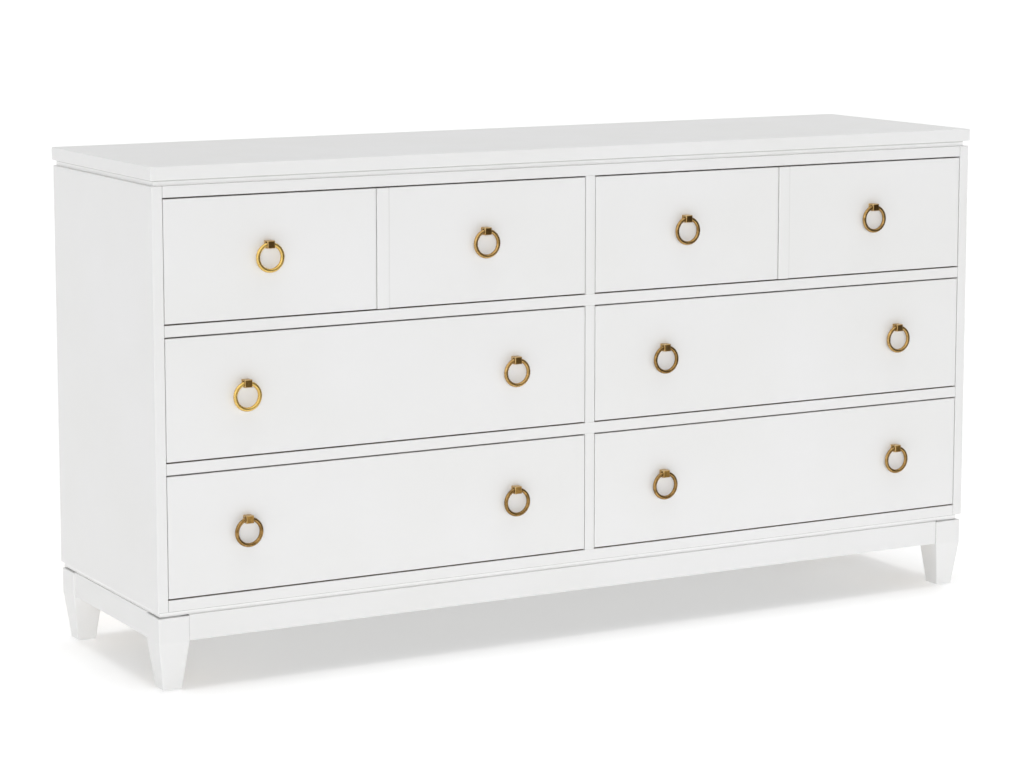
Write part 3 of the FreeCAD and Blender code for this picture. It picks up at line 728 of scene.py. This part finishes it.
class NodeTool:
    """A Geometry Nodes tree with named inputs that works on points and gives a plain mesh."""

    def __init__(self, name: str, inputs: dict[str, str]) -> None:
        """Make an empty tree.

        Args:
            name: The tree's name.
            inputs: Input name to its socket type.
        """
        self.tree = bpy.data.node_groups.new(name, "GeometryNodeTree")
        self.sockets: dict[str, str] = {}
        kinds = {"Points": "NodeSocketGeometry", **inputs, "Material": "NodeSocketMaterial"}
        for label, kind in kinds.items():
            made = self.tree.interface.new_socket(label, in_out="INPUT", socket_type=kind)
            self.sockets[label] = made.identifier
        self.tree.interface.new_socket("Mesh", in_out="OUTPUT", socket_type="NodeSocketGeometry")
        self.given = add_node(self.tree, "NodeGroupInput").outputs

    def end(self, shape: bpy.types.Node, most_turn: float = 0.0) -> None:
        """Close the tree: put the shape on every point, realize, then give the material.

        Args:
            shape: The node whose shape goes on the points, looking along its own Z.
            most_turn: Largest turn of a shape about its own Z, chosen by a fixed seed.
        """
        looks = add_node(
            self.tree, "GeometryNodeInputNamedAttribute", {"Name": "facing"}, data_type="FLOAT_VECTOR")
        way = add_node(self.tree, "FunctionNodeAlignRotationToVector", {"Vector": looks})
        placed = add_node(self.tree, "GeometryNodeInstanceOnPoints", {
            "Points": self.given["Points"], "Instance": shape, "Rotation": way})
        turn = add_node(
            self.tree, "FunctionNodeRandomValue", {"Max": most_turn, "Seed": SEED}, data_type="FLOAT")
        about = add_node(self.tree, "ShaderNodeCombineXYZ", {"Z": turn})
        turned = add_node(self.tree, "GeometryNodeRotateInstances", {
            "Instances": placed, "Rotation": about})
        real = add_node(self.tree, "GeometryNodeRealizeInstances", {"Geometry": turned})
        dressed = add_node(self.tree, "GeometryNodeSetMaterial", {
            "Geometry": real, "Material": self.given["Material"]})
        add_node(self.tree, "NodeGroupOutput", {"Mesh": dressed})

    def run(self, name: str, spots: Spots, **values: object) -> bpy.types.Mesh:
        """Run the tree on some points.

        Args:
            name: The name of the new mesh.
            spots: Place of each point and the way that it faces.
            **values: Input name, with _ for a space, to its value.

        Returns:
            The tree's result as a plain mesh.
        """
        start = bpy.data.meshes.new(name + "_points")
        start.from_pydata([place for place, _ in spots], [], [])
        looks = start.attributes.new("facing", "FLOAT_VECTOR", "POINT")
        looks.data.foreach_set("vector", [share for _, facing in spots for share in facing])
        carrier = bpy.data.objects.new(name + "_points", start)
        bpy.context.scene.collection.objects.link(carrier)
        modifier = carrier.modifiers.new("nodes", "NODES")
        modifier.node_group = self.tree
        for label, value in values.items():
            modifier[self.sockets[label.replace("_", " ")]] = value
        bpy.context.view_layer.update()
        result = carrier.evaluated_get(bpy.context.evaluated_depsgraph_get())
        mesh = bpy.data.meshes.new_from_object(result)
        mesh.name = name
        bpy.data.objects.remove(carrier)
        bpy.data.meshes.remove(start)
        return mesh


@dataclass
class RingPull:
    """One ring pull: the post stays as in model.glb, the ring gets a smooth round wire."""

    ring: str
    patina_and_reflection: PatinaAndReflection
    # Steps round the ring and its wire, enough to look smooth from close by.
    ring_steps: int = 112
    wire_steps: int = 32

    def dress(self, tool: NodeTool) -> None:
        """Replace the ring by a smooth one of the same size in the same place.

        Args:
            tool: The tree that makes a ring.
        """
        low, high = (Vector(corner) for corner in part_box(self.ring))
        wire = (high.y - low.y) / 2
        mesh = tool.run(self.ring + "_brass", [((low + high) / 2, Vector((0.0, -1.0, 0.0)))],
                        Ring_radius=(high.x - low.x) / 2 - wire, Wire_radius=wire,
                        Material=self.patina_and_reflection.value.material())
        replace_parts(keep(self.ring + "_brass", mesh, self.ring), self.ring)

    @classmethod
    def tool(cls) -> NodeTool:
        """Make the tree that bends a round wire into a ring.

        Returns:
            The tree, with both radii as inputs.
        """
        made = NodeTool("brass_ring", {
            "Ring radius": "NodeSocketFloat", "Wire radius": "NodeSocketFloat"})
        path = add_node(made.tree, "GeometryNodeCurvePrimitiveCircle", {
            "Radius": made.given["Ring radius"], "Resolution": cls.ring_steps})
        section = add_node(made.tree, "GeometryNodeCurvePrimitiveCircle", {
            "Radius": made.given["Wire radius"], "Resolution": cls.wire_steps})
        wire = add_node(made.tree, "GeometryNodeCurveToMesh", {"Curve": path, "Profile Curve": section})
        made.end(add_node(made.tree, "GeometryNodeSetShadeSmooth", {"Geometry": wire}))
        return made


@dataclass
class Screws:
    """Cross-head screws with a low round head, each turned as the driver left it."""

    head_radius_mm: float = 3.8
    head_height_mm: float = 1.5
    slot_width_mm: float = 0.9
    # The cross's length over the head's radius, and its cutter's height over the head's.
    slot_length_share: float = 1.1
    cutter_height_share: float = 1.2
    segments: int = 20
    rings: int = 10

    def tool(self) -> NodeTool:
        """Make the tree that puts a screw head on each point.

        Returns:
            The tree.
        """
        made = NodeTool("cross_head_screws", {})
        ball = add_node(made.tree, "GeometryNodeMeshUVSphere", {
            "Segments": self.segments, "Rings": self.rings, "Radius": self.head_radius_mm * MM})
        head = add_node(made.tree, "GeometryNodeTransform", {
            "Geometry": ball, "Scale": (1.0, 1.0, self.head_height_mm / self.head_radius_mm)})
        slot = add_node(made.tree, "GeometryNodeMeshCube", {"Size": (
            self.head_radius_mm * self.slot_length_share * MM, self.slot_width_mm * MM,
            self.head_height_mm * self.cutter_height_share * MM)})
        first = add_node(made.tree, "GeometryNodeTransform", {
            "Geometry": slot, "Translation": (0.0, 0.0, self.head_height_mm * MM)})
        second = add_node(made.tree, "GeometryNodeTransform", {
            "Geometry": first, "Rotation": (0.0, 0.0, math.radians(90))})
        slotted = add_node(made.tree, "GeometryNodeMeshBoolean", {
            "Mesh 1": head, "Mesh 2": first}, operation="DIFFERENCE")
        crossed = add_node(made.tree, "GeometryNodeMeshBoolean", {
            "Mesh 1": slotted, "Mesh 2": second}, operation="DIFFERENCE")
        made.end(crossed, most_turn=math.pi)
        return made

    @staticmethod
    def drive(tool: NodeTool, name: str, spots: Spots, body: str) -> None:
        """Drive a screw at each spot.

        Args:
            tool: The tree that makes the heads.
            name: The piece's name.
            spots: Place of each screw on the surface and the way that its head faces.
            body: The body that they ride on.
        """
        keep(name, tool.run(name, spots, Material=ZINC.material()), body)


@dataclass
class LegBolts:
    """Hanger bolts that pull each leg into its corner block: washer, hexagon nut and stud end."""

    # Radius and height above the block in millimetres, and the count of sides.
    washer: tuple[float, float, int] = (10.0, 1.6, 32)
    nut: tuple[float, float, int] = (7.5, 8.1, 6)
    stud: tuple[float, float, int] = (4.0, 15.0, 24)
    # From a leg's middle to the slanted face of its block, along X and along Y.
    face_mm: float = 48.25

    def tool(self) -> NodeTool:
        """Make the tree that puts a washer, nut and stud on each point.

        Returns:
            The tree.
        """
        made = NodeTool("hanger_bolts", {})
        whole = add_node(made.tree, "GeometryNodeJoinGeometry")
        for radius, height, sides in (self.washer, self.nut, self.stud):
            drum = add_node(made.tree, "GeometryNodeMeshCylinder", {
                "Vertices": sides, "Radius": radius * MM, "Depth": height * MM})
            stood = add_node(made.tree, "GeometryNodeTransform", {
                "Geometry": drum, "Translation": (0.0, 0.0, height / 2 * MM)})
            made.tree.links.new(stood.outputs["Geometry"], whole.inputs["Geometry"])
        # A hexagon looks the same again after a sixth of a turn.
        made.end(whole, most_turn=math.pi / 3)
        return made

    def place(self) -> None:
        """Put one bolt on the slanted face of each corner block."""
        low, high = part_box("corner_blocks")
        spots = []
        for leg, across, back in (("front_left_leg", 1.0, 1.0), ("front_right_leg", -1.0, 1.0),
                                  ("rear_right_leg", -1.0, -1.0), ("rear_left_leg", 1.0, -1.0)):
            middle = (Vector(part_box(leg)[0]) + Vector(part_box(leg)[1])) / 2
            inwards = Vector((across, back, 0.0))
            place = middle + inwards * self.face_mm * MM
            place.z = (low[2] + high[2]) / 2
            spots.append((place, inwards.normalized()))
        mesh = self.tool().run("leg_bolts", spots, Material=ZINC.material())
        keep("leg_bolts", mesh, "carcase")


@dataclass
class Drawer:
    """One drawer with its front, box, bottom and two ring pulls."""

    row: str
    bay: str
    posts: PostFace
    rings: tuple[PatinaAndReflection, PatinaAndReflection]
    bottom_screws: int = 4
    screw_inset_mm: float = 6.0

    def dress(self, ring_tool: NodeTool, screw_tool: NodeTool) -> None:
        """Give every piece of the drawer its finish.

        Args:
            ring_tool: The tree that makes a ring.
            screw_tool: The tree that makes screw heads.
        """
        name = f"{self.row}_{self.bay}_drawer"
        dress(f"{name}_front", STRIP_PAINT[self.bay] if self.row == "top" else FRONT_PAINT)
        dress(f"{name}_box", BOX_WOOD)
        dress(f"{name}_bottom", BOTTOM_PLY)
        dress(f"{name}_pull_posts", self.posts.value)
        for end, patina_and_reflection in zip(("left", "right"), self.rings):
            RingPull(f"{name}_{end}_ring", patina_and_reflection).dress(ring_tool)
        low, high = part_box(f"{name}_bottom")
        step = (high[0] - low[0]) / self.bottom_screws
        rear = high[1] - self.screw_inset_mm * MM
        Screws.drive(screw_tool, f"{name}_bottom_screws", [
            (Vector((low[0] + step * (number + 0.5), rear, low[2])), Vector((0.0, 0.0, -1.0)))
            for number in range(self.bottom_screws)], name)


@dataclass
class Carcase:
    """The case: painted outside, bare frames inside and a plywood back screwed on."""

    painted_up: tuple[str, ...] = ("left_side_panel", "right_side_panel", "centre_dividers")
    rails: tuple[str, ...] = ("bottom_rail", "lower_rail", "upper_rail", "top_rail")
    screws_along_rail: int = 11
    screws_down_edge: int = 7
    edge_inset_mm: float = 4.4

    def dress(self, screw_tool: NodeTool) -> None:
        """Give every fixed piece of the case its finish and screw the back on.

        Args:
            screw_tool: The tree that makes screw heads.
        """
        dress("top_panel", PAINT[Grain.ACROSS])
        for node in self.painted_up:
            dress(node, PAINT[Grain.UP])
        for node in self.rails:
            dress(node, RAIL_PAINT)
        dress("sub_top", NECK_PAINT["sub_top"])
        dress("back_panel", BACK_PLY)
        dress("back_rails", RAIL_PINE)
        dress("drawer_runners", RUNNER_PINE)
        dress("drawer_stops", RUNNER_PINE)
        Screws.drive(screw_tool, "back_screws", self.back_spots(), "carcase")

    def back_spots(self) -> Spots:
        """List where the back's screws go.

        Returns:
            Places along the back rails and down both edges, on the back's outer face, facing out.
        """
        low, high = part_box("back_panel")
        out = Vector((0.0, 1.0, 0.0))
        spots = []
        for rail in self.rails:
            level = (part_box(rail)[0][2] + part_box(rail)[1][2]) / 2
            for number in range(self.screws_along_rail):
                share = (number + 0.5) / self.screws_along_rail
                spots.append((Vector((low[0] + (high[0] - low[0]) * share, high[1], level)), out))
        for side in (low[0] + self.edge_inset_mm * MM, high[0] - self.edge_inset_mm * MM):
            for number in range(self.screws_down_edge):
                share = (number + 0.5) / self.screws_down_edge
                spots.append((Vector((side, high[1], low[2] + (high[2] - low[2]) * share)), out))
        return spots


@dataclass
class Base:
    """The base: legs, aprons, bottom board, corner blocks with their bolts, and glides."""

    upright: tuple[str, ...] = ("front_left_leg", "front_right_leg", "rear_right_leg", "rear_left_leg")
    across: tuple[str, ...] = ("front_apron", "rear_apron")
    deep: tuple[str, ...] = ("left_apron", "right_apron")

    def dress(self) -> None:
        """Give every piece of the base its finish and bolt the legs on."""
        for nodes, paint in ((self.upright, PAINT[Grain.UP]), (self.across, APRON_PAINT),
                             (self.deep, PAINT[Grain.DEEP])):
            for node in nodes:
                dress(node, paint)
        dress("base_board", NECK_PAINT["base_board"])
        dress("corner_blocks", RAIL_PINE)
        dress("foot_glides", NYLON)
        LegBolts().place()


@dataclass(frozen=True)
class Softbox:
    """A wide light so far off that it falls evenly on the whole chest."""

    name: str
    # Degrees to the left of straight in front, and degrees above the floor.
    turn: float
    rise: float
    # Light that reaches a surface facing it.
    strength: float
    # Degrees that it fills, seen from the chest.
    width: float = 25.0

    def hang(self) -> None:
        """Hang the light in the studio, where no metal mirrors it."""
        lamp = bpy.data.lights.new(self.name, "SUN")
        lamp.energy, lamp.angle = self.strength, math.radians(self.width)
        held = bpy.data.objects.new(self.name, lamp)
        held.rotation_euler = (math.radians(90 - self.rise), 0.0, math.radians(-self.turn))
        held.visible_glossy = False
        bpy.context.scene.collection.objects.link(held)


@dataclass
class Studio:
    """A pale floor, soft light and the camera."""

    # Place in metres, turn to the right and tilt up in degrees, lens and sensor in millimetres.
    camera_place: tuple[float, float, float] = (-2.6938, -4.7733, 1.3283)
    yaw: float = 29.0986
    pitch: float = -7.5368
    lens: float = 104.971
    sensor: float = 36.0
    # Share of the picture's width, only as large as the photo's framing needs.
    shift: float = -0.09
    softboxes: tuple[Softbox, ...] = (
        Softbox("key_softbox", 25.0, 9.0, 1.08),
        Softbox("left_softbox", 95.0, 20.0, 0.2),
        Softbox("rear_softbox", -125.0, 15.0, 0.45),
        Softbox("overhead_softbox", 0.0, 90.0, 0.8),
    )
    # Strength of the light from all round, and of what shiny surfaces mirror.
    ambient: float = 1.2
    mirror: float = 1.65
    # The way to a dark flag, in front on the right, that the rings' right sides mirror.
    flag: tuple[float, float, float] = (0.77, -0.64, 0.0)
    # Metres towards the flag, between which the mirrored floor gets dark.
    flag_foot: tuple[float, float] = (0.9, 2.2)
    # The share of the mirrored light that is left straight behind the chest, where the top mirrors
    # the room, and between which values of a direction's Y it falls to that.
    backdrop: float = 0.42
    backdrop_span: tuple[float, float] = (0.3, 0.8)
    floor_half: float = 60.0
    # Half sizes in metres of an oval round the chest, the floor's own light within it and far outside,
    # and between how many times its size that light changes.
    shade_half: tuple[float, float] = (0.95, 0.40)
    floor_glow: tuple[float, float] = (0.32, 0.33)
    glow_span: tuple[float, float] = (0.75, 1.8)

    def build(self) -> None:
        """Build the floor, the lights and the camera."""
        self.add_floor()
        self.add_world()
        for softbox in self.softboxes:
            softbox.hang()
        self.add_camera()

    def add_floor(self) -> None:
        """Lay a plain pale floor."""
        form = bmesh.new()
        bmesh.ops.create_grid(form, x_segments=2, y_segments=2, size=self.floor_half)
        mesh = bpy.data.meshes.new("studio_floor")
        form.to_mesh(mesh)
        form.free()
        made = bpy.data.materials.new("pale_studio_floor")
        made.use_nodes = True
        tree = made.node_tree
        tree.nodes.clear()
        at = add_node(tree, "ShaderNodeTexCoord").outputs["Object"]
        oval = add_node(tree, "ShaderNodeVectorMath", {
            0: at, 1: (*self.shade_half, 1.0)}, operation="DIVIDE")
        far = add_node(tree, "ShaderNodeVectorMath", {0: oval}, operation="LENGTH")
        glow = add_node(tree, "ShaderNodeMapRange", {
            "Value": far.outputs["Value"], "From Min": self.glow_span[0], "From Max": self.glow_span[1],
            "To Min": self.floor_glow[0], "To Max": self.floor_glow[1]}, interpolation_type="SMOOTHSTEP")
        paper = add_node(tree, "ShaderNodeBsdfPrincipled", {
            "Base Color": linear("#F2F2F2"), "Roughness": 0.9, "Specular IOR Level": 0.1,
            "Emission Color": linear("#FFFFFF"), "Emission Strength": glow})
        # The flag's foot: the brass mirrors a dark floor where the flag stands.
        towards = add_node(tree, "ShaderNodeVectorMath", {0: at, 1: self.flag}, operation="DOT_PRODUCT")
        foot = add_node(tree, "ShaderNodeMapRange", {
            "Value": towards.outputs["Value"], "From Min": self.flag_foot[0],
            "From Max": self.flag_foot[1]})
        rays = add_node(tree, "ShaderNodeLightPath")
        mirrored = add_node(tree, "ShaderNodeMath", {
            0: foot, 1: rays.outputs["Is Glossy Ray"]}, operation="MULTIPLY")
        dark = add_node(tree, "ShaderNodeEmission", {"Color": linear("#6C6C6C"), "Strength": 1.0})
        shader = add_node(tree, "ShaderNodeMixShader", {"Fac": mirrored, 1: paper, 2: dark})
        add_node(tree, "ShaderNodeOutputMaterial", {"Surface": shader})
        mesh.materials.append(made)
        floor = bpy.data.objects.new("studio_floor", mesh)
        bpy.context.scene.collection.objects.link(floor)

    def add_world(self) -> None:
        """Surround the chest with light that is strongest overhead, with a dark flag for the brass."""
        world = bpy.data.worlds.new("studio")
        world.use_nodes = True
        tree = world.node_tree
        tree.nodes.clear()
        rays = add_node(tree, "ShaderNodeLightPath")
        way = add_node(tree, "ShaderNodeTexCoord").outputs["Generated"]
        parts = add_node(tree, "ShaderNodeSeparateXYZ", {"Vector": way})
        sky = add_node(tree, "ShaderNodeValToRGB", {"Fac": parts.outputs["Z"]}, [
            (0.7, "#727272"), (1.0, "#FFFFFF")])
        even = add_node(tree, "ShaderNodeBackground", {"Color": sky, "Strength": self.ambient})
        plain = add_node(tree, "ShaderNodeBackground", {"Color": linear("#FFFFFF"), "Strength": 1.0})
        flag = add_node(tree, "ShaderNodeVectorMath", {0: way, 1: self.flag}, operation="DOT_PRODUCT")
        room = add_node(tree, "ShaderNodeValToRGB", {"Fac": flag.outputs["Value"]}, [
            (0.0, "#F4F4F4"), (0.55, "#D0D0D0"), (0.8, "#707070"), (0.97, "#4C4C4C")])
        behind = add_node(tree, "ShaderNodeMapRange", {
            "Value": parts.outputs["Y"], "From Min": self.backdrop_span[0],
            "From Max": self.backdrop_span[1], "To Min": self.mirror,
            "To Max": self.mirror * self.backdrop})
        mirrored = add_node(tree, "ShaderNodeBackground", {"Color": room, "Strength": behind})
        first = add_node(tree, "ShaderNodeMixShader", {
            "Fac": rays.outputs["Is Glossy Ray"], 1: even, 2: mirrored})
        second = add_node(tree, "ShaderNodeMixShader", {
            "Fac": rays.outputs["Is Camera Ray"], 1: first, 2: plain})
        add_node(tree, "ShaderNodeOutputWorld", {"Surface": second})
        bpy.context.scene.world = world
        bpy.context.scene.view_settings.view_transform = "Standard"

    def add_camera(self) -> None:
        """Stand the camera where the photograph was taken from."""
        lens = bpy.data.cameras.new("photo_camera")
        lens.sensor_width, lens.lens, lens.shift_y = self.sensor, self.lens, self.shift
        held = bpy.data.objects.new("photo_camera", lens)
        held.location = self.camera_place
        held.rotation_euler = (math.radians(90 + self.pitch), 0.0, math.radians(-self.yaw))
        bpy.context.scene.collection.objects.link(held)
        bpy.context.scene.camera = held


def main() -> None:
    """Build the chest's dressing piece by piece, then the studio."""
    logging.basicConfig(level=logging.INFO, format="%(message)s")
    ring_tool, screw_tool = RingPull.tool(), Screws().tool()
    Carcase().dress(screw_tool)
    Base().dress()
    drawers = (
        Drawer("top", "left", PostFace.BRONZED, (PatinaAndReflection.BRIGHT, PatinaAndReflection.WARM)),
        Drawer("top", "right", PostFace.BRONZED, (PatinaAndReflection.ANTIQUE, PatinaAndReflection.ANTIQUE)),
        Drawer("middle", "left", PostFace.BRONZED, (PatinaAndReflection.BRIGHT, PatinaAndReflection.WARM)),
        Drawer("middle", "right", PostFace.BROWNED, (PatinaAndReflection.DEEP, PatinaAndReflection.WARM)),
        Drawer("bottom", "left", PostFace.GOLDEN, (PatinaAndReflection.DEEP, PatinaAndReflection.DEEP)),
        Drawer("bottom", "right", PostFace.GOLDEN, (PatinaAndReflection.DEEP, PatinaAndReflection.ANTIQUE)),
    )
    for drawer in drawers:
        drawer.dress(ring_tool, screw_tool)
    Studio().build()


if __name__ == "__main__":
    main()
